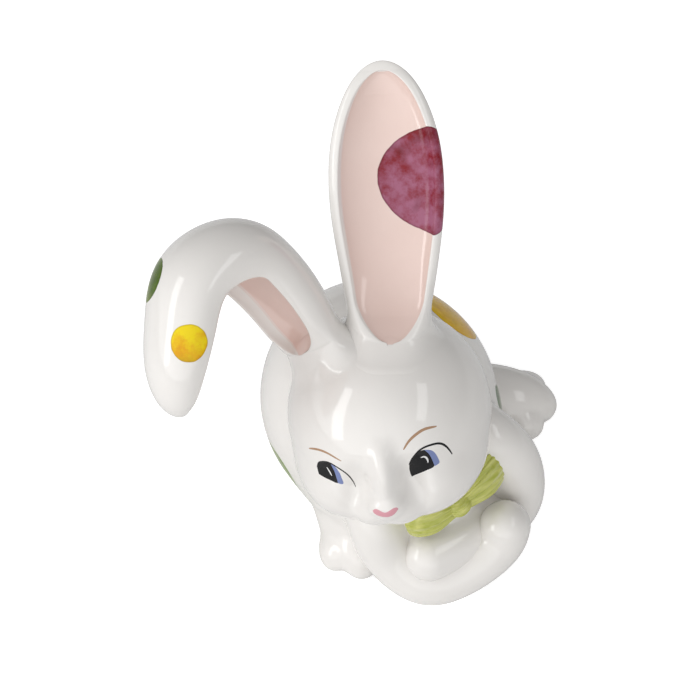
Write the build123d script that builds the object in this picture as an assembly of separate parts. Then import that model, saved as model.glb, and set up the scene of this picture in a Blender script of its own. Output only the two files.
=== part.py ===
from build123d import *
from math import atan2, degrees
import os

# A crouching porcelain rabbit: a hollow slip-cast body and head, with solid ears, arms,
# feet, tail and bow luted on before firing. It stands on its flat seat.
# Lengths are in millimetres, angles in degrees. +Z is up, the rabbit faces -Y, and its
# own left is +X. The origin lies under the rump's centre, on the table.
# A place is given leftwards, forwards and upwards, in half sizes of the form that carries
# the piece or, along an ear, in lengths of that ear. A section is given by how far along it
# stands and by its share of the full width.

# Casting: vents let the air out of the hollow body and head, and a block cuts away what
# lies under the table
casting_wall = 3.5
vent_diameter = 8
vent_behind = 14
neck_vent_diameter = 10
vent_reach = 14
cutting_block = 400

# Body: one egg for the rump and one for the chest
rump_width = 88
rump_length = 94
rump_height = 94
rump_centre_height = 36
chest_width = 58
chest_length = 58
chest_height = 76
chest_centre_height = 32
chest_ahead = 27
chest_aside = -7

# Head: an egg that turns to its right, looks up and tilts
skull_width = 72
skull_length = 78
skull_height = 72
head_ahead = 32
head_aside = -20.5
head_centre_height = 78
head_turn = 42
head_pitch = 13
head_tilt = 10
jowl_width = 61
jowl_length = 46
jowl_height = 28
cheek_width = 26
cheek_length = 30
cheek_height = 22
muzzle_width = 24
muzzle_length = 25
muzzle_height = 17
lip_diameter = 13
nose_width = 9
nose_length = 7
nose_height = 6
bridge_width = 15
bridge_length = 23
bridge_height = 32
jowl_place_shares = (0, 0.38, -0.32)
cheek_place_shares = (0.39, 0.56, -0.28)
muzzle_place_shares = (0, 0.78, -0.29)
lip_place_shares = (0.15, 0.90, -0.39)
nose_place_shares = (0, 1.06, -0.24)
bridge_place_shares = (0, 0.82, -0.06)

# Ears: both are dished towards a focus
ear_rim = 2.4
ear_back_wall = 3.4

# Upright ear
ear_upright_length = 105
ear_upright_width = 39
ear_upright_thickness = 13
ear_upright_root_shares = (0.08, 0.10, 0.55)
ear_upright_line_shares = [(0, 0, 0), (0.015, -0.052, 0.132), (0.038, -0.123, 0.321),
                           (0.056, -0.211, 0.533), (0.071, -0.277, 0.717), (0.086, -0.391, 0.945)]
ear_upright_section_shares = [(0, 0.54), (0.08, 0.60), (0.14, 0.69), (0.27, 0.83), (0.39, 0.94),
                              (0.52, 1.0), (0.64, 0.98), (0.77, 0.89), (0.89, 0.68), (0.95, 0.48),
                              (0.985, 0.27)]
ear_upright_hollow_shares = (0.09, 0.975)
ear_upright_focus_shares = (0.7, 4.0, 2.0)

# Folded ear: it rises, arches over and hangs beside the head
ear_folded_length = 125
ear_folded_width = 34
ear_folded_thickness = 27
ear_folded_root_shares = (-0.35, 0.10, 0.58)
ear_folded_line_shares = [(0, 0, 0), (-0.050, -0.016, 0.062), (-0.124, -0.053, 0.220),
                          (-0.196, -0.051, 0.339), (-0.254, -0.014, 0.399), (-0.335, 0.073, 0.399),
                          (-0.376, 0.151, 0.315), (-0.412, 0.224, 0.198), (-0.427, 0.268, 0.072)]
ear_folded_section_shares = [(0, 0.65), (0.08, 0.76), (0.2, 0.92), (0.33, 1.0), (0.48, 1.0), (0.62, 0.95),
                             (0.76, 0.83), (0.87, 0.62), (0.94, 0.43), (0.98, 0.25)]
ear_folded_hollow_shares = (0.1, 0.95)
ear_folded_focus_shares = (-0.25, 0.12, 0.19)

# Arms: each runs from a shoulder inside the body, and they cross in front, one hand over the other
arm_diameter = 19.5
hand_diameter = 20
arm_bend = 12
arm_left_line_shares = [(0.45, 0.17, 0.68), (0.69, 0.79, 0.58), (0.93, 1.0, 0.11),
                        (0.97, 1.15, -0.39), (-0.55, 1.14, -0.24)]
arm_right_line_shares = [(-0.66, -0.03, 0.42), (-0.97, 0.59, -0.05), (-0.79, 1.03, -0.51),
                         (-0.24, 1.38, -0.51), (0.28, 1.52, -0.32), (0.41, 1.47, -0.03)]

# Hind feet, each cut flat on the table
sole_length = 56
sole_width = 24
sole_height = 24
toe_length = 16
toe_width = 13
toe_height = 13
toe_spread = 8
toe_setback = 3
sole_cut = 4
toe_cut = 0.5
foot_left_toe_shares = (1.42, 0.45, 0)
foot_left_heel_shares = (0.95, 0.02, 0)
foot_right_toe_shares = (-0.86, 0.76, 0)
foot_right_heel_shares = (-0.54, 0.28, 0)

# Tail
tail_diameter = 26
tail_place_shares = (0.12, -1.04, -0.06)

# Bow at the throat
bow_loop_length = 19
bow_loop_width = 17
bow_thickness = 7
bow_knot_width = 8
bow_knot_height = 11
bow_slope = 15
bow_lean = 30
bow_knot_shares = (-0.03, 1.02, 0.16)
bow_loop_section_shares = [(0, 0.3), (0.25, 0.62), (0.6, 1.0), (0.85, 0.9)]

rump_half = (rump_width / 2, rump_length / 2, rump_height / 2)
rump_centre = Vector(0, 0, rump_centre_height)
chest_half = (chest_width / 2, chest_length / 2, chest_height / 2)
chest_centre = Vector(chest_aside, -chest_ahead, chest_centre_height)
skull_half = (skull_width / 2, skull_length / 2, skull_height / 2)
head_place = (Location((head_aside, -head_ahead, head_centre_height)) * Rotation(0, 0, -head_turn)
              * Rotation(-head_pitch, 0, 0) * Rotation(0, -head_tilt, 0))
quarter_turn = Rotation(0, 0, 90)


def offset_by(shares, sizes):
    """The vector of a place given leftwards, forwards and upwards in shares of three sizes."""
    left, ahead, up = (share * size for share, size in zip(shares, sizes))
    return Vector(left, -ahead, up)


def egg(width, length, height, inset=0):
    """An ellipsoid, or the one inside its wall; its seam runs down the back."""
    half_width, half_length, half_height = (size / 2 - inset for size in (width, length, height))
    by = (1, half_length / half_width, half_height / half_width)
    return scale(quarter_turn * Sphere(half_width), by=by)


def rump_form(inset=0):
    return Pos(rump_centre) * egg(rump_width, rump_length, rump_height, inset)


def chest_form(inset=0):
    return Pos(chest_centre) * egg(chest_width, chest_length, chest_height, inset)


def skull_form(inset=0):
    return head_place * egg(skull_width, skull_length, skull_height, inset)


def below(height=0):
    """Everything under a level, as a block to cut with."""
    align = (Align.CENTER, Align.CENTER, Align.MAX)
    return Pos(0, 0, height) * Box(cutting_block, cutting_block, cutting_block, align=align)


def face_forms():
    """What swells out of the skull: jowls, cheeks, bridge, muzzle, lips and nose."""
    swells = [(jowl_place_shares, egg(jowl_width, jowl_length, jowl_height)),
              (bridge_place_shares, egg(bridge_width, bridge_length, bridge_height)),
              (muzzle_place_shares, egg(muzzle_width, muzzle_length, muzzle_height))]
    for (aside, ahead, up), form in ((cheek_place_shares, egg(cheek_width, cheek_length, cheek_height)),
                                     (lip_place_shares, egg(lip_diameter, lip_diameter, lip_diameter))):
        swells += [((side * aside, ahead, up), form) for side in (-1, 1)]
    swells.append((nose_place_shares, egg(nose_width, nose_length, nose_height)))
    return [head_place * Pos(offset_by(shares, skull_half)) * form for shares, form in swells]


def fitted(piece, *neighbours):
    """A piece cut back to its neighbours' faces; only its main body stays."""
    for neighbour in neighbours:
        piece = piece.cut(neighbour).solids().sort_by(SortBy.VOLUME)[-1]
    return piece


def station(line, along, focus):
    """A plane across a line whose Y direction looks towards the focus."""
    return Plane(origin=line @ along, x_dir=(focus - line @ along).cross(line % along), z_dir=line % along)


def ear(root_shares, line_shares, section_shares, hollow_shares, focus_shares, length, width, thickness):
    """An ear in the head's place: ellipses along a line, closed to a tip, with a dished front."""
    root = offset_by(root_shares, skull_half)
    line = Spline(*[root + offset_by(shares, (length,) * 3) for shares in line_shares])
    focus = root + offset_by(focus_shares, (length,) * 3)
    rings = [station(line, along, focus) * Ellipse(width / 2 * share, thickness / 2 * share)
             for along, share in section_shares]
    outer = loft(rings + [Vertex(*(line @ 1))])
    start, end = hollow_shares
    low, high = [(station(line, along, focus) * Pos(0, thickness / 2 * share)).position
                 for along, share in ((start, section_shares[0][1]), (end, section_shares[-1][1]))]
    rings = [station(line, along, focus) * Pos(0, thickness / 2 * share)
             * Ellipse(width / 2 * share - ear_rim, (thickness - ear_back_wall) * share)
             for along, share in section_shares if start < along < end]
    hollow = loft([Vertex(*low)] + rings + [Vertex(*high)])
    return head_place * (outer - hollow)


def arm(line_shares):
    """A round arm along a bent line, ending in a ball of a hand."""
    corners = [chest_centre + offset_by(shares, chest_half) for shares in line_shares]
    line = FilletPolyline(*corners, radius=arm_bend)
    sleeve = sweep(Plane(origin=line @ 0, z_dir=line % 0) * Circle(arm_diameter / 2), path=line)
    return sleeve + Pos(line @ 1) * Sphere(hand_diameter / 2)


def foot(toe_shares, heel_shares):
    """A long sole with three toes, from heel to toe on the table."""
    toe = offset_by(toe_shares, rump_half)
    heel = offset_by(heel_shares, rump_half)
    heading = degrees(atan2(toe.Y - heel.Y, toe.X - heel.X))
    sole_place = Pos((toe_length - sole_length) / 2, 0, sole_height / 2 - sole_cut)
    form = sole_place * egg(sole_length, sole_width, sole_height)
    for row in (-1, 0, 1):
        place = Pos(-toe_setback * abs(row), toe_spread * row, toe_height / 2 - toe_cut)
        form += place * egg(toe_length, toe_width, toe_height)
    return Pos(toe) * Rotation(0, 0, heading) * form


def bow():
    """The knot and its two fanned loops, leaning back against the throat."""
    place = (Pos(chest_centre + offset_by(bow_knot_shares, chest_half)) * Rotation(-bow_lean, 0, 0)
             * Rotation(0, -bow_slope, 0))
    loops = []
    for side in (-1, 1):
        rings = [Plane(origin=(side * bow_loop_length * along, 0, 0), x_dir=(0, 0, 1), z_dir=(side, 0, 0))
                 * Ellipse(bow_loop_width / 2 * share, bow_thickness / 2 * share)
                 for along, share in bow_loop_section_shares]
        loops.append(place * loft(rings + [Vertex(side * bow_loop_length, 0, 0)]))
    return place * egg(bow_knot_width, bow_thickness, bow_knot_height), *loops


def main():
    os.makedirs("parts", exist_ok=True)
    table = below()
    rump = rump_form()
    chest = chest_form()
    skull = skull_form()
    face = face_forms()
    body = rump + chest - table
    body_hollow = rump_form(casting_wall) + chest_form(casting_wall) - below(casting_wall)
    head = skull
    for form in face:
        head = head.fuse(form)
    vent = Pos(0, vent_behind, 0) * Cylinder(vent_diameter / 2, vent_reach)
    neck_vent = head_place * Pos(0, 0, -skull_height / 2) * Cylinder(neck_vent_diameter / 2, vent_reach)
    upright = ear(ear_upright_root_shares, ear_upright_line_shares, ear_upright_section_shares,
                  ear_upright_hollow_shares, ear_upright_focus_shares,
                  ear_upright_length, ear_upright_width, ear_upright_thickness)
    folded = ear(ear_folded_root_shares, ear_folded_line_shares, ear_folded_section_shares,
                 ear_folded_hollow_shares, ear_folded_focus_shares,
                 ear_folded_length, ear_folded_width, ear_folded_thickness)
    right_arm = fitted(arm(arm_right_line_shares), table, rump, chest, skull)
    left_arm = fitted(arm(arm_left_line_shares), table, rump, chest, skull, right_arm)
    right_foot = fitted(foot(foot_right_toe_shares, foot_right_heel_shares), table, rump, chest, right_arm)
    left_foot = fitted(foot(foot_left_toe_shares, foot_left_heel_shares), table, rump, chest, left_arm)
    tail = Pos(rump_centre + offset_by(tail_place_shares, rump_half)) * Sphere(tail_diameter / 2)
    knot, right_loop, left_loop = bow()
    throat = (rump, chest, skull, *face, left_arm, right_arm)
    pieces = {
        "body_shell": fitted(body, body_hollow, skull, vent),
        "head_shell": fitted(head, skull_form(casting_wall), neck_vent),
        "ear_upright": fitted(upright, skull),
        "ear_folded": fitted(folded, skull, upright),
        "arm_right": right_arm,
        "arm_left": left_arm,
        "foot_right": right_foot,
        "foot_left": left_foot,
        "tail": fitted(tail, rump),
        "bow_knot": fitted(knot, *throat),
        "bow_loop_right": fitted(right_loop, knot, *throat),
        "bow_loop_left": fitted(left_loop, knot, *throat),
    }
    for name, piece in pieces.items():
        print(name, round(piece.volume), "mm3", "valid" if piece.is_valid else "not valid")
        export_step(piece, f"parts/{name}.step")


main()
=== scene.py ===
import bpy
import numpy as np
from mathutils import Matrix, Quaternion, Vector


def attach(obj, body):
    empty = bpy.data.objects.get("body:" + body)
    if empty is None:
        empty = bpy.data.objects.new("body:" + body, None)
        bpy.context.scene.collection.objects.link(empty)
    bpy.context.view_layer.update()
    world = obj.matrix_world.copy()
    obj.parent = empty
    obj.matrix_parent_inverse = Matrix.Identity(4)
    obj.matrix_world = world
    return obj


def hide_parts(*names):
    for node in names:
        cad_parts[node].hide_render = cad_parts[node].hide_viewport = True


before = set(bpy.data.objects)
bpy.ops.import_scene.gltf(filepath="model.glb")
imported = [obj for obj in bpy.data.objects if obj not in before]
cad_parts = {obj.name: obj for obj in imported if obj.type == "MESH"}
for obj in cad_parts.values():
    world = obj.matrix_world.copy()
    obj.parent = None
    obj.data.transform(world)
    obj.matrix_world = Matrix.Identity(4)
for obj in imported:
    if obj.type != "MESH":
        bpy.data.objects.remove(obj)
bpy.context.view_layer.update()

# A crouching porcelain rabbit: a round body, a turned head, one ear up and one folded over,
# crossed arms, hind feet, a tail and a bow, all under one glossy glaze with painted dots.
# Lengths are in millimetres in the CAD model's frame: +Z is up, the rabbit faces -Y and its
# own left is +X. A place on the head is given leftwards, forwards and upwards. A reach is the
# width of the fillet between two forms, and a heart is the point that a form's rays start from.
MM = 0.001

# A number that is too small to see and keeps a division or a root from failing
TINY = 0.001

# Body
rump_centre = np.array([0, 0, 36.0])
rump_half = np.array([44, 47, 47.0])
chest_centre = np.array([-7, -27, 32.0])
chest_half = np.array([29, 29, 38.0])
waist_reach = 16
seat_reach = 3
vent_place = (0, 14, 0)
vent_half = (4, 4, 6)
vent_reach = 0.6
body_heart = rump_centre - (0, 4, 0)

# Head
head_centre = np.array([-20.5, -32, 78.0])
head_turn = 42
head_pitch = 13
head_tilt = 10
skull_half = np.array([36, 39, 36.0])
jowl_place = (0, 15, -11.5)
jowl_half = (30, 22, 13)
jowl_reach = 8
cheek_place = (14, 22, -10)
cheek_half = (12, 14, 10)
cheek_reach = 7
muzzle_place = (0.8, 31, -10.5)
muzzle_half = (10, 12.2, 7.6)
muzzle_reach = 5
lip_place = (5.2, 35.2, -14)
lip_half = (6.2, 6.3, 5.5)
lip_reach = 3
nose_place = (0.8, 41.8, -8.5)
nose_half = (5.2, 3.6, 3.2)
nose_reach = 3
bridge_place = (1.2, 33.8, -2.5)
bridge_half = (5, 10.5, 15.5)
bridge_reach = 4
socket_place = (9.3, 42.6, -3)
socket_half = (4.6, 7, 9.5)
socket_reach = 6
neck_reach = 6

# Ears: each follows a line of points on the head, and its half width is the width times shares
# from root to tip. The dish is set in by the rim, ear_least keeps its half width from closing, and
# it is coloured where its half width is over ear_pink_least. A section has columns behind, at each
# edge and in the dish.
ear_rim = 3.2
ear_least = 0.9
ear_pink_least = 2.4 * ear_least
back_columns = 50
edge_columns = 13
dish_columns = 43
ear_upright_line = [(2.9, 3.9, 19.8), (3.7, 1.2, 26.6), (4.5, -1.6, 33.5), (6.9, -9.0, 53.5),
                    (8.8, -18.3, 75.8), (10.4, -25.2, 95.1), (11.9, -37.2, 119.0)]
ear_upright_width = 19.5
ear_upright_shares = (0.54, 0.72, 0.87, 0.98, 1.0, 0.94, 0.81, 0.64, 0.44, 0.22, 0)
ear_folded_line = [(-13.2, 4.6, 20.6), (-19.9, 2.9, 28.0), (-29.2, -1.7, 47.6), (-37.6, -2.0, 62.8),
                   (-44.4, 2.2, 70.8), (-54.3, 13.0, 70.8), (-59.0, 22.8, 60.3), (-62.6, 31.5, 46.5),
                   (-64.0, 36.6, 32.4)]
ear_folded_width = 17
ear_folded_shares = (0.74, 0.92, 1.04, 1.06, 1.01, 0.96, 0.87, 0.71, 0.5, 0.25, 0)

# Arms: a line of points, and the half width at its start and at its end
arm_left_line = [(6, -32, 58), (13, -50, 54), (20, -55.5, 38), (20, -58, 23), (11, -60, 19),
                 (-6, -61.5, 21.5), (-23, -60, 23)]
arm_left_halves = (11, 9.5)
arm_right_line = [(-26, -26, 48), (-34, -41, 35), (-33, -49, 21), (-26.5, -60, 12), (-16.5, -66, 12),
                  (-6, -69, 16.5), (2, -70, 22.5), (4.8, -69.5, 29)]
arm_right_halves = (10, 9.4)
arm_reach = 4

# Feet: the middle toe's and the heel's places on the table, and the half width. The instep's and
# the toes' places are ahead, sideways and up from the middle toe's, and the heart's ahead and up.
foot_left = ((62, -20.5), (41, -1), 14)
foot_right = ((-36.4, -36.8), (-23, -16), 15)
instep_place = (-20, 0, 9)
instep_length = 28
instep_height = 14
toe_half = (8, 5.7, 7)
toe_spread = 9.8
toe_setback = 4
toe_height = 6.5
toe_reach = 3
sole_reach = 2
foot_heart = (-16, 7)
foot_reach = 5

# Tail
tail_centre = np.array([5.3, 48.9, 33.2])
tail_half = 13
tail_reach = 5

# Bow: lines from the knot out, on the chest, and a loop's shares of its half height and half depth
bow_knot_place = np.array([-10.7, -60.2, 45.2])
bow_left_line = [(-13, -60.2, 44.6), (-4, -60.2, 47.6), (4, -58.8, 49.5), (11.5, -55.5, 49.2)]
bow_right_line = [(-8.5, -60.2, 44.8), (-17, -59, 44.6), (-23.5, -56.5, 43.5), (-29, -52.5, 42)]
bow_shares = (0.5, 0.62, 0.84, 0.98, 1.0, 0.96, 0.84, 0.6, 0)
bow_height = 8.6
bow_depth = 4.4
bow_folds = 17
knot_half = (5, 4.6, 4.9)
knot_ridge = 0.2
knot_waves = 5

# Paint on the face, leftwards and upwards of the head's middle. A patch has its paint, its lift
# off the skin and the two lines that it lies between. A stroke has its paint, its lift, its half
# width and its line.
patches = {
    "eye_left_iris": (
        "blue", 0.05,
        [(15.5, 8.7), (17.6, 7.7), (19.0, 5.7), (19.8, 3.0), (19.8, 1.7), (18.2, 1.4)],
        [(15.5, 8.7), (16.5, 6.5), (17.2, 4.2), (18.2, 1.4)]),
    "eye_left_pupil": (
        "black", 0.08,
        [(9.9, -2.0), (9.3, 1.2), (9.9, 4.1), (11.5, 7.2), (13.6, 8.8), (15.5, 8.7)],
        [(9.9, -2.0), (12.1, -0.8), (14.2, 0.3), (16.3, 1.0), (18.1, 1.4), (18.1, 2.8), (17.8, 4.2),
         (17.0, 6.5), (15.5, 8.7)]),
    "eye_right_iris": (
        "blue", 0.05,
        [(-17.1, 5.3), (-15.7, 4.7), (-14.8, 3.3), (-14.2, 1.6), (-13.8, -0.5), (-13.7, -2.4),
         (-15.4, -1.8)],
        [(-17.1, 5.3), (-16.7, 3.8), (-16.2, 1.5), (-15.4, -1.8)]),
    "eye_right_pupil": (
        "black", 0.08,
        [(-22.3, -0.5), (-22.7, 1.0), (-22.4, 2.8), (-20.6, 4.5), (-18.8, 5.2), (-17.1, 5.3)],
        [(-22.3, -0.5), (-20.7, -0.7), (-19.0, -0.9), (-17.2, -1.2), (-15.5, -1.7), (-15.6, 0.2),
         (-15.9, 2.2), (-16.5, 3.8), (-17.1, 5.3)]),
    "nose_colour": (
        "rose", 0.12,
        [(-3.7, -7.9), (-3.0, -7.1), (-1.6, -6.9), (0.2, -7.7), (1.7, -7.5), (3.3, -6.8), (4.6, -6.9),
         (5.1, -7.6)],
        [(-3.7, -7.9), (-3.1, -9.0), (-1.1, -9.7), (1.3, -10.0), (3.5, -9.2), (5.1, -7.6)]),
}
strokes = {
    "eye_left_lid": (
        "black", 0.11, 0.36,
        [(9.8, 3.8), (11.2, 6.6), (13.3, 8.7), (15.8, 9.5), (19.0, 9.1), (21.2, 7.9), (22.8, 5.5),
         (24.0, 2.1)]),
    "eye_left_shine": (
        "shine", 0.12, 0.36, [(14.1, 6.4), (15.3, 6.3), (16.1, 5.1), (16.2, 3.6)]),
    "eye_right_lid": (
        "black", 0.11, 0.28,
        [(-22.7, 1.5), (-21.8, 3.6), (-19.8, 5.0), (-16.8, 5.4), (-13.3, 3.1), (-10.9, -1.1),
         (-9.8, -4.6)]),
    "eye_right_shine": (
        "shine", 0.12, 0.32, [(-18.8, 3.3), (-18.0, 2.1), (-17.3, 0.7)]),
    "brow_left": (
        "brown", 0.06, 0.5, [(8.9, 10.9), (10.9, 13.1), (13.5, 14.5), (16.5, 15.0), (20.2, 14.1)]),
    "brow_right": (
        "brown", 0.06, 0.42, [(-25.0, 7.1), (-21.7, 8.6), (-17.6, 8.9), (-12.9, 7.4)]),
}
paint_colours = {
    "black": (0.012, 0.012, 0.013),
    "blue": (0.20, 0.25, 0.47),
    "brown": (0.42, 0.26, 0.16),
    "rose": (0.68, 0.33, 0.38),
    "shine": (0.85, 0.85, 0.85),
}

# Painted dots: a centre near the skin, a radius, and the tones above and below. The last five, on
# the backs of the body and the head, are out of the photograph's sight.
dots = [
    ((7, -14, 159.5), 20.2, (0.23, 0.008, 0.018), (0.36, 0.12, 0.20)),
    ((-85.4, -8, 138.2), 6.4, (0.86, 0.66, 0.004), (0.76, 0.36, 0.003)),
    ((-81.6, 20.4, 141.9), 8, (0.07, 0.13, 0.001), (0.16, 0.22, 0.002)),
    ((31.5, -2.8, 68.4), 13.5, (0.80, 0.50, 0), (0.74, 0.38, 0)),
    ((-40, 7, 18.6), 13, (0.20, 0.31, 0.005), (0.08, 0.15, 0.005)),
    ((29.6, -34.2, 48.8), 5.6, (0.04, 0.12, 0.02), (0.11, 0.21, 0.05)),
    ((-21.5, 38.5, 22), 6, (0.86, 0.66, 0.004), (0.76, 0.36, 0.003)),
    ((28, 30, 58), 10, (0.20, 0.004, 0.006), (0.30, 0.065, 0.13)),
    ((-3, 44, 12), 5, (0.16, 0.30, 0.01), (0.06, 0.14, 0.01)),
    ((37.5, 23, 45), 7, (0.16, 0.30, 0.01), (0.06, 0.14, 0.01)),
    ((2, -1, 92), 7, (0.80, 0.43, 0.002), (0.62, 0.20, 0.002)),
]

# Ceramic: the skin is bare clay up to clay_height and glazed from glaze_height. The coat is the
# weight of a glassy layer, and the mirror is a specular level.
clay_height = 0.4
glaze_height = 0.7
clay_colour = (0.70, 0.66, 0.60, 1)
clay_rough = 0.75
glaze_rough = 0.1
glaze_coat = 0.55
dot_coat = 0.1
glaze_mirror = 0.5
dot_mirror = 0.2

# Camera, in millimetres
camera_place = (-317.6, -403.2, 677.6)
camera_aim = (11.2, 33.2, 26.5)
camera_lens = 111.47

# Light: the way to the world's bright side, the two cosines between which it brightens, its least
# and greatest strength, and two boxes. Each box has its place, its two sizes in metres, its roll
# in degrees and its watts.
world_way = (-0.87, -0.38, -0.32)
world_cosines = (-0.6, 1.0)
world_light = (0.29, 1.52)
floor_glow = 0.6
box_aim = (-5, -20, 60)
boxes = {
    "left_box": ((-650, 200, 420), (0.2, 0.7), 35, 1.05),
    "right_box": ((222, -455, 650), (0.15, 0.5), -55, 0.36),
}


def unit(vectors):
    return vectors / np.linalg.norm(vectors, axis=-1, keepdims=True)


def turning(degrees, axis):
    return np.array(Matrix.Rotation(np.radians(degrees), 3, axis))


head_matrix = turning(-head_turn, "Z") @ turning(-head_pitch, "X") @ turning(-head_tilt, "Y")
head_axes = np.array([head_matrix[:, 0], -head_matrix[:, 1], head_matrix[:, 2]])


def from_head(places):
    """Places given leftwards, forwards and upwards of the head's middle, in the model's frame."""
    return head_centre + np.asarray(places, float) @ head_axes


def ellipsoid(points, centre, half, axes=np.eye(3)):
    """Nearly the distance to an ellipsoid: k(k - 1) / g, with k the point's length in half sizes
    and g the length of that point divided by the half sizes once more."""
    local = (points - centre) @ axes.T / half
    k = np.sqrt((local ** 2).sum(-1))
    return k * (k - 1) / np.sqrt(((local / half) ** 2).sum(-1) + TINY)


def joined(one, other, reach):
    """The smaller of two distances, less (reach - difference)^2 / 4 reach where they are close."""
    near = np.clip(reach - np.abs(one - other), 0, None)
    return np.minimum(one, other) - near ** 2 / (4 * reach)


def carved(one, other, reach):
    """One distance with the other's inside taken away, and the edge rounded."""
    return -joined(-one, other, reach)


def body_form(points):
    """The rump and the chest run together, cut flat on the table, with a vent in the seat."""
    rump = ellipsoid(points, rump_centre, rump_half)
    chest = ellipsoid(points, chest_centre, chest_half)
    form = carved(joined(rump, chest, waist_reach), points[..., 2], seat_reach)
    return carved(form, ellipsoid(points, vent_place, vent_half), vent_reach)


def head_form(points):
    """The skull run together with what swells out of it, jowls, cheeks, bridge, muzzle, lips and
    nose, and carved at the eyes' sockets."""
    local = (points - head_centre) @ head_axes.T
    mirrored = np.abs(local) * (1, 0, 0) + local * (0, 1, 1)
    form = ellipsoid(local, (0, 0, 0), skull_half)
    form = joined(form, ellipsoid(local, jowl_place, jowl_half), jowl_reach)
    form = joined(form, ellipsoid(mirrored, cheek_place, cheek_half), cheek_reach)
    form = carved(form, ellipsoid(mirrored, socket_place, socket_half), socket_reach)
    form = joined(form, ellipsoid(local, bridge_place, bridge_half), bridge_reach)
    form = joined(form, ellipsoid(local, muzzle_place, muzzle_half), muzzle_reach)
    form = joined(form, ellipsoid(mirrored, lip_place, lip_half), lip_reach)
    return joined(form, ellipsoid(local, nose_place, nose_half), nose_reach)


def slope(form, points):
    """The direction in which a form's distance grows, from small steps along the three axes."""
    steps = np.eye(3) * 0.02
    return unit(np.stack([form(points + step) - form(points - step) for step in steps], -1))


def star(form, centre, axes, rows, columns, far):
    """Rings of latitude by longitude round a centre; each ray is halved until its form is zero."""
    latitude = np.pi * ((np.arange(rows) + 0.5) / rows - 0.5)[:, None]
    longitude = 2 * np.pi * np.arange(columns) / columns + 0 * latitude
    rays = np.stack([np.cos(latitude) * np.sin(longitude), np.cos(latitude) * np.cos(longitude),
                     np.sin(latitude) + 0 * longitude], -1) @ axes
    inner, outer = np.zeros((rows, columns)), np.full((rows, columns), float(far))
    for _ in range(22):
        middle = (inner + outer) / 2
        inside = form(centre + rays * middle[..., None]) < 0
        inner, outer = np.where(inside, middle, inner), np.where(inside, outer, middle)
    return centre + rays * inner[..., None]


def curve(points, along):
    """A line of even bending through points: a natural cubic spline over the points' numbers."""
    points = np.asarray(points, float)
    last = len(points) - 1
    inner = np.arange(1, last)
    system = np.eye(last + 1)
    system[inner, inner - 1], system[inner, inner], system[inner, inner + 1] = 1, 4, 1
    change = np.zeros_like(points)
    change[1:-1] = 6 * (points[:-2] - 2 * points[1:-1] + points[2:])
    bend = np.linalg.solve(system, change)
    place = np.clip(along, 0, 1) * last
    span = np.minimum(place.astype(int), last - 1)
    ahead = (place - span).reshape(-1, *[1] * (points.ndim - 1))
    left = 1 - ahead
    straight = points[span] * left + points[span + 1] * ahead
    return straight + (bend[span] * (left ** 3 - left) + bend[span + 1] * (ahead ** 3 - ahead)) / 6


def at_rows(grid, place):
    """A grid's points at row numbers with fractions, each column having its own."""
    low = np.clip(np.floor(place).astype(int), 0, len(grid) - 2)
    share = (place - low)[..., None]
    one = np.take_along_axis(grid, low[..., None], 0)
    other = np.take_along_axis(grid, low[..., None] + 1, 0)
    return one * (1 - share) + other * share


def walked(line, along):
    """The places and headings at shares of the length of a line of even bending, and its length."""
    even = np.linspace(0, 1, 800)
    path = curve(line, even)
    length = np.concatenate([[0], np.cumsum(np.linalg.norm(np.diff(path, axis=0), axis=1))])
    share = np.interp(along * length[-1], length, even)
    heading = np.stack([np.interp(share, even, way) for way in np.gradient(path, axis=0).T], -1)
    return curve(line, share), unit(heading), length[-1]


def flared(grid, host, reach, rows=28, tuck=0.2):
    """A piece whose root spreads onto its host. Its columns rise out of the host. Where a column is
    h above the host and h is under the reach R, the skin moves outwards by (sqrt R - sqrt h)^2, a
    parabola that is tangent to both, and then it dips gently under the host. The second result
    tells which row of the grid each point comes from."""
    reach = np.broadcast_to(np.asarray(reach, float), grid.shape[1])
    heights = host(grid)
    steps = np.linspace(1 + tuck, 0, rows)[:, None]
    wanted = reach * (1 - steps) * np.abs(1 - steps)
    leading = np.cumprod(heights[:, None] < wanted[None], 0).sum(0)
    leading = np.clip(leading, 1, len(grid) - 1)
    low = np.take_along_axis(heights, leading - 1, 0)
    high = np.take_along_axis(heights, leading, 0)
    place = leading - 1 + np.clip((wanted - low) / np.maximum(high - low, TINY), 0, 1)
    base = at_rows(grid, place)
    crossing = int(np.argmin(np.abs(steps - 1)))
    lift = slope(host, base[crossing])
    rise = base[crossing - 2] - base[crossing + 2]
    round_it = np.roll(base[crossing], -1, 0) - np.roll(base[crossing], 1, 0)
    away = unit(np.cross(rise, round_it))
    middle = base[crossing].mean(0)
    away *= np.sign((away * (base[crossing] - middle)).sum(-1, keepdims=True))
    away = unit(away - lift * (away * lift).sum(-1, keepdims=True))
    skin = base + away * (reach * steps ** 2)[..., None]
    for _ in range(3):
        skin -= slope(host, skin) * (host(skin) - wanted)[..., None]
    rest = place[-1] + (len(grid) - 1 - place[-1]) * np.linspace(0, 1, len(grid))[1:, None]
    return np.concatenate([skin, at_rows(grid, rest)]), np.concatenate([place, rest])


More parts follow.
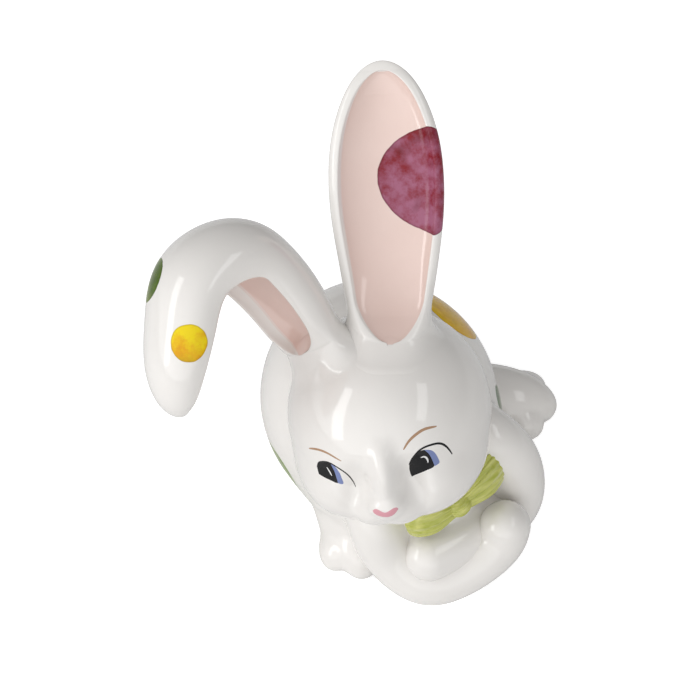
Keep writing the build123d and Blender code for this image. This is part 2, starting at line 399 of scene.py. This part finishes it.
def tube(line, halves, hub, columns, count):
    """Round rings across a line whose half width goes evenly from the first of halves to the last.
    The rings crowd towards the end, where they close in like a ball of the last half width. Each
    ring starts on the side that faces away from the hub."""
    share = 1 - (1 - np.linspace(0, 1, count)) ** 2
    length = walked(line, share)[2]
    place = share * (length + halves[-1])
    middle, ahead, _ = walked(line, np.minimum(place / length, 1))
    past = np.clip(place - length, 0, halves[-1] - TINY)
    half = np.interp(place / length, (0, 1), halves) * np.sqrt(1 - (past / halves[-1]) ** 2)
    middle += ahead * past[:, None]
    side = unit(np.cross(ahead, middle - hub))
    up = np.cross(side, ahead)
    turn = 2 * np.pi * np.arange(columns) / columns
    circle = np.cos(turn)[:, None] * side[:, None] + np.sin(turn)[:, None] * up[:, None]
    return middle[:, None] + circle * half[:, None, None]


def nestled(grid, host, reach):
    """A piece that lies along its host. A point h above the host, with h under the reach R, moves
    outwards along the host by (sqrt R - sqrt h)^2 and keeps its height, so glaze fills the crease.
    Where the skin looks along the host's own slope it has no way outwards, and the push fades."""
    heights = host(grid)
    rise = np.gradient(grid, axis=0)
    round_it = np.roll(grid, -1, 1) - np.roll(grid, 1, 1)
    face = np.cross(rise, round_it)
    face *= np.sign((face * (grid - grid.mean(1, keepdims=True))).sum(-1, keepdims=True))
    face = unit(face + TINY * TINY)
    lift = slope(host, grid)
    away = face - lift * (face * lift).sum(-1, keepdims=True)
    size = np.linalg.norm(away, axis=-1)
    step = np.clip(1 - np.sign(heights) * np.sqrt(np.abs(heights) / reach), 0, 1.2)
    faded = 0.3
    push = reach * step ** 2 * np.clip(size / faded, 0, 1) / np.maximum(size, faded)
    skin = grid + away * push[..., None]
    near = np.abs(heights) < reach
    for _ in range(2):
        skin -= slope(host, skin) * ((host(skin) - heights) * near)[..., None]
    return skin


def closed(name, grid, finishes, kinds=None):
    """A closed mesh from rings: quads between neighbours, and a fan from each end ring to its middle."""
    rows, columns = grid.shape[:2]
    corners = np.concatenate([grid.reshape(-1, 3), [grid[0].mean(0)], [grid[-1].mean(0)]])
    number = np.arange(rows * columns).reshape(rows, columns)
    beside = np.roll(number, -1, 1)
    quads = np.stack([number[:-1], beside[:-1], beside[1:], number[1:]], -1).reshape(-1, 4)
    start = np.stack([beside[0], number[0], np.full(columns, rows * columns)], -1)
    end = np.stack([number[-1], beside[-1], np.full(columns, rows * columns + 1)], -1)
    thirds = np.concatenate([quads[:, :3], quads[:, [0, 2, 3]], start, end])
    a, b, c = (corners[thirds[:, k]] - corners.mean(0) for k in range(3))
    outward = (a * np.cross(b, c)).sum() > 0
    faces = [face if outward else face[::-1] for face in quads.tolist() + start.tolist() + end.tolist()]
    mesh = bpy.data.meshes.new(name)
    mesh.from_pydata((corners * MM).tolist(), [], faces)
    mesh.polygons.foreach_set("use_smooth", np.ones(len(faces), bool))
    for finish in finishes:
        mesh.materials.append(finish)
    if kinds is not None:
        index = np.zeros(len(faces), int)
        index[:len(quads)] = np.broadcast_to(kinds, (rows - 1, columns)).reshape(-1)
        mesh.polygons.foreach_set("material_index", index)
    mesh.update()
    piece = bpy.data.objects.new(name, mesh)
    bpy.context.scene.collection.objects.link(piece)
    return piece


def placed(piece, *nodes, slot=None):
    """A piece on the one body, which replaces CAD nodes. Its slot is not used."""
    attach(piece, "root")
    if nodes:
        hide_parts(*nodes)
    return piece


def node(tree, kind, sockets=(), **settings):
    """A material node with its settings, and each socket given a value or a link."""
    made = tree.nodes.new(kind)
    for name, value in settings.items():
        setattr(made, name, value)
    for place, value in dict(sockets).items():
        if isinstance(value, bpy.types.NodeSocket):
            tree.links.new(value, made.inputs[place])
        else:
            made.inputs[place].default_value = value
    return made


def mixed(tree, share, one, other):
    """A colour that goes from one to other as the share goes from zero to one."""
    made = node(tree, "ShaderNodeMix", {0: share, 6: one, 7: other}, data_type="RGBA")
    return made.outputs[2]


def ranged(tree, value, low, high, first=0.0, last=1.0):
    """A number that goes from first to last as the value goes from low to high, and stays there."""
    made = node(tree, "ShaderNodeMapRange", {0: value, 1: low, 2: high, 3: first, 4: last})
    return made.outputs[0]


def between(tree, share, first, last):
    """A number that goes from first to last as the share goes from zero to one."""
    return ranged(tree, share, 0.0, 1.0, first, last)


def clouds(tree, place, scale, detail, roughness=0.5):
    """Noise from zero to one, with scale clouds a metre."""
    sockets = {"Vector": place, "Scale": scale, "Detail": detail, "Roughness": roughness}
    return node(tree, "ShaderNodeTexNoise", sockets).outputs[0]


def worked(tree, operation, *values, **settings):
    """The result of a mathematical operation on values or sockets."""
    made = node(tree, "ShaderNodeMath", enumerate(values), operation=operation, **settings)
    return made.outputs[0]


def upward(tree, place):
    """The height of a place."""
    return node(tree, "ShaderNodeSeparateXYZ", {0: place}).outputs[2]


def dotted(tree, place, ground):
    """Watercolour dots on a ground: clouds of two tones, the first one above, darker blots and a
    darker edge. The second result is one on a dot and zero beside it."""
    cloud = clouds(tree, place, scale=150.0, detail=6.0, roughness=0.65)
    loose = clouds(tree, place, scale=330.0, detail=1.0)
    wide = clouds(tree, place, scale=95.0, detail=4.0)
    blot = ranged(tree, wide, low=0.52, high=0.74, last=0.75)
    height = upward(tree, place)
    covered = 0.0
    for centre, radius, one, other in dots:
        spot = tuple(MM * value for value in centre)
        away = node(tree, "ShaderNodeVectorMath", {0: place, 1: spot}, operation="DISTANCE")
        far = worked(tree, "MULTIPLY_ADD", loose, 0.4 * MM, away.outputs["Value"])
        inside = ranged(tree, far, (radius + 0.25) * MM, (radius + 0.1) * MM)
        edge = ranged(tree, far, (radius - 0.4) * MM, (radius + 0.2) * MM, last=0.6)
        lower = ranged(tree, height, spot[2] + radius * MM, spot[2] - radius * MM, first=-2.0, last=-1.0)
        share = worked(tree, "MULTIPLY_ADD", cloud, 3.9, lower, use_clamp=True)
        tone = mixed(tree, share, (*one, 1), (*other, 1))
        tone = mixed(tree, blot, tone, (*(0.55 * value for value in one), 1))
        tone = mixed(tree, edge, tone, (*(value / 3 for value in one), 1))
        ground = mixed(tree, inside, ground, tone)
        covered = worked(tree, "MAXIMUM", covered, inside)
    return ground, covered


def glaze(name, light, deep, painted_on=False, grain=(45, 45, 45)):
    """Fired glaze: a faint cloud between two tones, with grain clouds a metre along each axis, a
    barely waved surface and a glassy coat. On the dots the coat and the specular level are weaker.
    The skin that stands on the table is bare clay."""
    finish = bpy.data.materials.new(name)
    finish.use_nodes = True
    tree = finish.node_tree
    shader = tree.nodes["Principled BSDF"]
    place = node(tree, "ShaderNodeTexCoord").outputs["Object"]
    streak = node(tree, "ShaderNodeVectorMath", {0: place, 1: grain}, operation="MULTIPLY").outputs[0]
    share = ranged(tree, clouds(tree, streak, scale=1.0, detail=3.0), low=0.25, high=0.75)
    colour = mixed(tree, share, (*light, 1), (*deep, 1))
    coat = glaze_coat
    if painted_on:
        colour, covered = dotted(tree, place, colour)
        coat = between(tree, covered, glaze_coat, dot_coat)
        mirror = between(tree, covered, glaze_mirror, dot_mirror)
        tree.links.new(mirror, shader.inputs["Specular IOR Level"])
    glazed = ranged(tree, upward(tree, place), low=clay_height * MM, high=glaze_height * MM)
    tree.links.new(mixed(tree, glazed, clay_colour, colour), shader.inputs["Base Color"])
    tree.links.new(between(tree, glazed, clay_rough, glaze_rough), shader.inputs["Roughness"])
    tree.links.new(between(tree, glazed, 0.0, coat), shader.inputs["Coat Weight"])
    wave = clouds(tree, place, scale=160.0, detail=2.0)
    bump = node(tree, "ShaderNodeBump", {"Height": wave, "Strength": 0.03, "Distance": 0.4 * MM})
    tree.links.new(bump.outputs[0], shader.inputs["Normal"])
    shader.inputs["Coat Roughness"].default_value = 0.03
    return finish


white = glaze("white_glaze", (0.84, 0.815, 0.785), (0.81, 0.785, 0.755), True)
pink = glaze("pink_glaze", (0.81, 0.63, 0.57), (0.78, 0.59, 0.53), True)
pale = glaze("pale_glaze", (0.82, 0.72, 0.68), (0.79, 0.69, 0.65), True)
green = glaze("bow_glaze", (0.66, 0.66, 0.20), (0.36, 0.40, 0.03), grain=(70, 500, 500))


def paint(name, colour):
    """Paint of one colour, a little shiny."""
    finish = bpy.data.materials.new(name)
    finish.use_nodes = True
    shader = finish.node_tree.nodes["Principled BSDF"]
    shader.inputs["Base Color"].default_value = (*colour, 1)
    shader.inputs["Roughness"].default_value = 0.2
    shader.inputs["Specular IOR Level"].default_value = 0.25
    return finish


paints = {name: paint(name + "_paint", colour) for name, colour in paint_colours.items()}


def make_body():
    grid = star(body_form, body_heart, np.eye(3), rows=190, columns=240, far=90)
    placed(closed("body", grid, [white]), "body_shell", slot="white_glaze")


def make_head():
    grid = star(head_form, head_centre, head_axes, rows=300, columns=300, far=80)
    skin = flared(grid, body_form, neck_reach)[0]
    placed(closed("head", skin, [white]), "head_shell", slot="white_glaze")


def make_tail():
    """A ball whose rings go round the +Y axis, from the body outwards."""
    def form(points):
        return ellipsoid(points, tail_centre, (tail_half, tail_half, tail_half))
    axes = np.array([(1, 0, 0), (0, 0, 1), (0, 1.0, 0)])
    grid = star(form, tail_centre, axes, rows=120, columns=96, far=30)
    skin = flared(grid, body_form, tail_reach)[0]
    placed(closed("tail_glazed", skin, [white]), "tail", slot="white_glaze")


def soft(values):
    """Each value with a quarter of each neighbour's along a closed row."""
    return (np.roll(values, 1, 1) + 2 * values + np.roll(values, -1, 1)) / 4


def section(width, back, front, inner, drop):
    """Closed sections of an ear, one for each row, as two arrays: half an ellipse behind, a quarter
    ellipse up from each edge in front, and between them a dish whose floor is front - drop sin^1.2
    of an angle from 0 to 180 degrees. All but the back is then softened three times."""
    behind = np.linspace(0, np.pi, back_columns)
    edge = np.linspace(0, np.pi / 2, edge_columns + 1)[1:]
    dish = np.linspace(0, np.pi, dish_columns + 1)[1:]
    width, back, front, inner, drop = (value[:, None] for value in (width, back, front, inner, drop))
    rim = width - inner
    x = np.concatenate([width * np.cos(behind), -inner - rim * np.cos(edge), -inner * np.cos(dish),
                        inner + rim * np.cos(edge[::-1])[1:]], 1)
    y = np.concatenate([-back * np.sin(behind), front * np.sin(edge),
                        front - drop * np.sin(dish) ** 1.2, front * np.sin(edge[::-1])[1:]], 1)
    front_first = back_columns + 1
    for _ in range(3):
        x[:, front_first:] = soft(x)[:, front_first:]
        y[:, front_first:] = soft(y)[:, front_first:]
    return x, y


def ear(name, line, focus, width, shares, walls, start, lower, reaches, bare):
    """Sections along a line, crowded towards the tip and the foot of the dish, each facing the
    focus. Walls are the half thicknesses behind and in front and the depth of the dish below the
    middle. The dish starts at a share of the length and opens over the share called lower, where
    its half width grows as (1 - (1 - r)^2)^0.38, with r from 0 to 1. Its outline is the ear's own,
    set in by the rim. The root spreads by the first of the reaches behind and at the sides, and
    goes over to the second in front by 1 - s^4, with s the share of the way to the edge. The dish
    is coloured between its first and last bare columns."""
    back, front, depth = walls
    turn = np.linspace(0, 1, 260)
    foot = start + lower * np.linspace(0, 1, 30) ** 2
    turn = np.sort(np.concatenate([turn, 1 - np.sqrt(1 - foot)]))
    along = 1 - (1 - turn) ** 2
    middle, heading, length = walked(from_head(line), along)
    across = unit(np.cross(from_head(focus) - middle, heading))
    towards = np.cross(heading, across)
    size = curve(shares, turn)
    half = width * size
    place = along * length
    lean = np.gradient(half, place)
    tilt = np.sqrt(1 + lean ** 2)
    inner = np.interp(place, place + ear_rim * lean / tilt, half - ear_rim / tilt, right=0)
    rising = np.clip((along - start) / lower, 0, 1)
    inner = np.clip(inner, 0, None) * (1 - (1 - rising) ** 2) ** 0.38
    drop = (front + depth) * np.clip(2 * inner / width, 0, 1) ** 0.7 * size
    kept = np.maximum(inner, np.minimum(ear_least, half / 2)) + TINY
    x, y = section(half, back * size, front * size, kept, drop)
    kinds = np.zeros(x.shape[1], int)
    dish_first = back_columns + edge_columns - 1 + bare[0]
    dish_last = back_columns + edge_columns + dish_columns - bare[1]
    kinds[dish_first:dish_last] = 2
    kinds[dish_first + 1:dish_last - 1] = 1
    grid = (middle[:, None] + across[:, None] * x[..., None] + towards[:, None] * y[..., None])[:-1]
    root = 20
    facing = np.where(y[root] > 0, np.clip(1 - (x[root] / half[root]) ** 4, 0, 1), 0)
    spread = reaches[0] + (reaches[1] - reaches[0]) * facing
    skin, rows = flared(grid, head_form, spread, rows=80)
    hollow = np.interp(rows, np.arange(len(inner)), inner) > ear_pink_least
    piece = closed(name + "_glazed", skin, [white, pink, pale], kinds * hollow[1:])
    placed(piece, name, slot="white_glaze")


def make_ears():
    ear("ear_upright", ear_upright_line, focus=(76.4, 424, 229.8), width=ear_upright_width,
        shares=ear_upright_shares, walls=(6.5, 3.0, 3.0), start=0.17, lower=0.09, reaches=(8, 19),
        bare=(1, 5))
    ear("ear_folded", ear_folded_line, focus=(-43.9, 18.9, 44.6), width=ear_folded_width,
        shares=ear_folded_shares, walls=(13, 6.5, 3), start=0.13, lower=0.09, reaches=(7, 9),
        bare=(2, 8))


def make_arms():
    for name, line, halves in (("arm_left", arm_left_line, arm_left_halves),
                               ("arm_right", arm_right_line, arm_right_halves)):
        grid = tube(line, halves, chest_centre, columns=140, count=260)
        piece = closed(name + "_glazed", nestled(grid, body_form, arm_reach), [white])
        placed(piece, name, slot="white_glaze")


def make_feet():
    """Each foot is an instep run together with three toes, cut flat on the table."""
    for name, (toe, heel, half) in (("foot_left", foot_left), ("foot_right", foot_right)):
        toe, heel = np.array([*toe, 0.0]), np.array([*heel, 0.0])
        ahead = unit(toe - heel)
        side = np.array([-ahead[1], ahead[0], 0])
        axes = np.array([ahead, side, (0, 0, 1.0)])

        def form(points):
            local = (points - toe) @ axes.T
            foot = ellipsoid(local, instep_place, (instep_length, half, instep_height))
            for row in (-1, 0, 1):
                toe_place = (-toe_setback * abs(row), toe_spread * row, toe_height)
                foot = joined(foot, ellipsoid(local, toe_place, toe_half), toe_reach)
            return carved(foot, points[..., 2], sole_reach)
        heart = toe + ahead * foot_heart[0] + (0, 0, foot_heart[1])
        grid = star(form, heart, axes[::-1], rows=200, columns=160, far=60)
        skin = flared(grid, body_form, foot_reach)[0]
        skin[..., 2] = np.maximum(skin[..., 2], 0)
        placed(closed(name + "_glazed", skin, [white]), name, slot="white_glaze")


def make_bow():
    """Two lobes and a knot. A lobe's rings are ellipses times 1 + (0.12 (1 - s)^1.3 + 0.02) f, with
    s from 0 at the knot to 1 and f = cos(folds a + 1.5 sin 2a) at the angle a, so its folds fan out
    of the knot and fade. The knot is an ellipsoid with ridges that run along the bow."""
    turn = np.linspace(0, 1, 130)
    along = 1 - (1 - turn) ** 2
    angle = 2 * np.pi * np.arange(300) / 300
    folds = np.cos(bow_folds * angle + 1.5 * np.sin(2 * angle))
    size = curve(bow_shares, turn)[:, None]
    ripple = size * (1 + (0.12 * (1 - along)[:, None] ** 1.3 + 0.02) * folds)
    for name, line in (("bow_loop_left", bow_left_line), ("bow_loop_right", bow_right_line)):
        middle, heading, _ = walked(line, along)
        out = slope(body_form, middle)
        out = unit(out - heading * (out * heading).sum(-1, keepdims=True))
        side = np.cross(out, heading)
        grid = (middle[:, None] + side[:, None] * (bow_height * np.cos(angle) * ripple)[..., None]
                + out[:, None] * (bow_depth * np.sin(angle) * ripple)[..., None])
        placed(closed(name + "_glazed", grid[:-1], [green]), name, slot="bow_glaze")
    across = unit(np.array(bow_left_line[1]) - bow_right_line[1])
    out = slope(body_form, bow_knot_place)
    axes = np.array([across, out, np.cross(across, out)])

    def form(points):
        local = (points - bow_knot_place) @ axes.T
        return ellipsoid(local, (0, 0, 0), knot_half) - knot_ridge * np.cos(local[..., 2] * knot_waves)
    grid = star(form, bow_knot_place, axes, rows=90, columns=140, far=12)
    placed(closed("bow_knot_glazed", grid, [green]), "bow_knot", slot="bow_glaze")


def on_face(places):
    """Where a line straight back at the face, from a place leftwards and upwards, meets it, 10 to
    60 in front of the head's middle."""
    inner, outer = np.full(places.shape[:-1], 10.0), np.full(places.shape[:-1], 60.0)
    for _ in range(24):
        middle = (inner + outer) / 2
        inside = head_form(from_head(np.stack([places[..., 0], middle, places[..., 1]], -1))) < 0
        inner, outer = np.where(inside, middle, inner), np.where(inside, outer, middle)
    return from_head(np.stack([places[..., 0], inner, places[..., 1]], -1))


def painted(name, one, other, colour, lift):
    """A film of paint between two lines on the face, closed 0.1 below the skin. At a share s of the
    way across it lies 2 lift sqrt(s (1 - s)) above the skin, less 0.02."""
    along = 0.5 - 0.498 * np.cos(np.pi * np.linspace(0, 1, 70))[:, None]
    share = 0.5 - 0.5 * np.cos(np.pi * np.linspace(0, 1, 22))[:, None]
    lines = [curve(side, along[:, 0])[:, None] for side in (one, other)]
    top = on_face(lines[0] * (1 - share) + lines[1] * share)
    facing = slope(head_form, top)
    above = top + facing * (lift * np.sqrt(4 * share * (1 - share)) - 0.02)
    under = (top - facing * 0.1)[:, -2:0:-1]
    placed(closed(name, np.concatenate([above, under], 1), [paints[colour]]))


def make_face():
    """The patches, and the strokes, whose half width tapers as the 0.35th power of a half sine."""
    for name, (colour, lift, one, other) in patches.items():
        painted(name, one, other, colour, lift)
    along = np.linspace(0, 1, 41)
    for name, (colour, lift, half, points) in strokes.items():
        line = curve(points, along)
        heading = unit(np.gradient(line, axis=0))
        width = half * np.sin(np.pi * (0.01 + 0.98 * along))[:, None] ** 0.35
        side = np.stack([-heading[:, 1], heading[:, 0]], -1) * width
        painted(name, line + side, line - side, colour, lift)


make_body()
make_head()
make_tail()
make_ears()
make_arms()
make_feet()
make_bow()
make_face()


def make_studio():
    """A white floor, a world that is brighter on one side and white to the camera, two soft boxes
    and the camera."""
    floor = bpy.data.objects.new("floor", bpy.data.meshes.new("floor"))
    span = 3.0
    corners = [(-span, -span, 0), (span, -span, 0), (span, span, 0), (-span, span, 0)]
    floor.data.from_pydata(corners, [], [(0, 1, 2, 3)])
    bpy.context.scene.collection.objects.link(floor)
    finish = bpy.data.materials.new("floor_white")
    finish.use_nodes = True
    tree = finish.node_tree
    shader = tree.nodes["Principled BSDF"]
    shader.inputs["Base Color"].default_value = (0.9, 0.9, 0.9, 1)
    shader.inputs["Roughness"].default_value = 0.9
    shader.inputs["Specular IOR Level"].default_value = 0.0
    shader.inputs["Emission Color"].default_value = (1, 1, 1, 1)
    path = node(tree, "ShaderNodeLightPath")
    glow = worked(tree, "MULTIPLY", path.outputs["Is Camera Ray"], floor_glow)
    tree.links.new(glow, shader.inputs["Emission Strength"])
    floor.data.materials.append(finish)
    world = bpy.data.worlds.new("studio")
    world.use_nodes = True
    tree = world.node_tree
    way = node(tree, "ShaderNodeTexCoord").outputs["Generated"]
    facing = node(tree, "ShaderNodeVectorMath", {0: way, 1: world_way}, operation="DOT_PRODUCT")
    steps = dict(enumerate((facing.outputs["Value"], *world_cosines, *world_light)))
    level = node(tree, "ShaderNodeMapRange", steps, interpolation_type="SMOOTHSTEP")
    path = node(tree, "ShaderNodeLightPath")
    seen = node(tree, "ShaderNodeMix", {0: path.outputs["Is Camera Ray"], 2: level.outputs[0], 3: 1.0})
    background = tree.nodes["Background"]
    background.inputs[0].default_value = (1, 1, 1, 1)
    tree.links.new(seen.outputs[0], background.inputs[1])
    bpy.context.scene.world = world
    aim = Vector(box_aim) * MM
    for name, (place, size, roll, power) in boxes.items():
        lamp = bpy.data.lights.new(name, "AREA")
        lamp.shape = "RECTANGLE"
        lamp.size, lamp.size_y = size
        lamp.energy = power
        holder = bpy.data.objects.new(name, lamp)
        holder.location = Vector(place) * MM
        holder.rotation_mode = "QUATERNION"
        facing = (aim - holder.location).to_track_quat("-Z", "Y")
        holder.rotation_quaternion = facing @ Quaternion((0, 0, 1), np.radians(roll))
        bpy.context.scene.collection.objects.link(holder)
    camera = bpy.data.objects.new("camera", bpy.data.cameras.new("camera"))
    camera.location = Vector(camera_place) * MM
    camera.rotation_mode = "QUATERNION"
    camera.rotation_quaternion = (Vector(camera_aim) - Vector(camera_place)).to_track_quat("-Z", "Y")
    camera.data.lens = camera_lens
    camera.data.sensor_width = 36
    camera.data.clip_start = 0.01
    bpy.context.scene.collection.objects.link(camera)
    bpy.context.scene.camera = camera
    bpy.context.scene.view_settings.view_transform = "Standard"


make_studio()
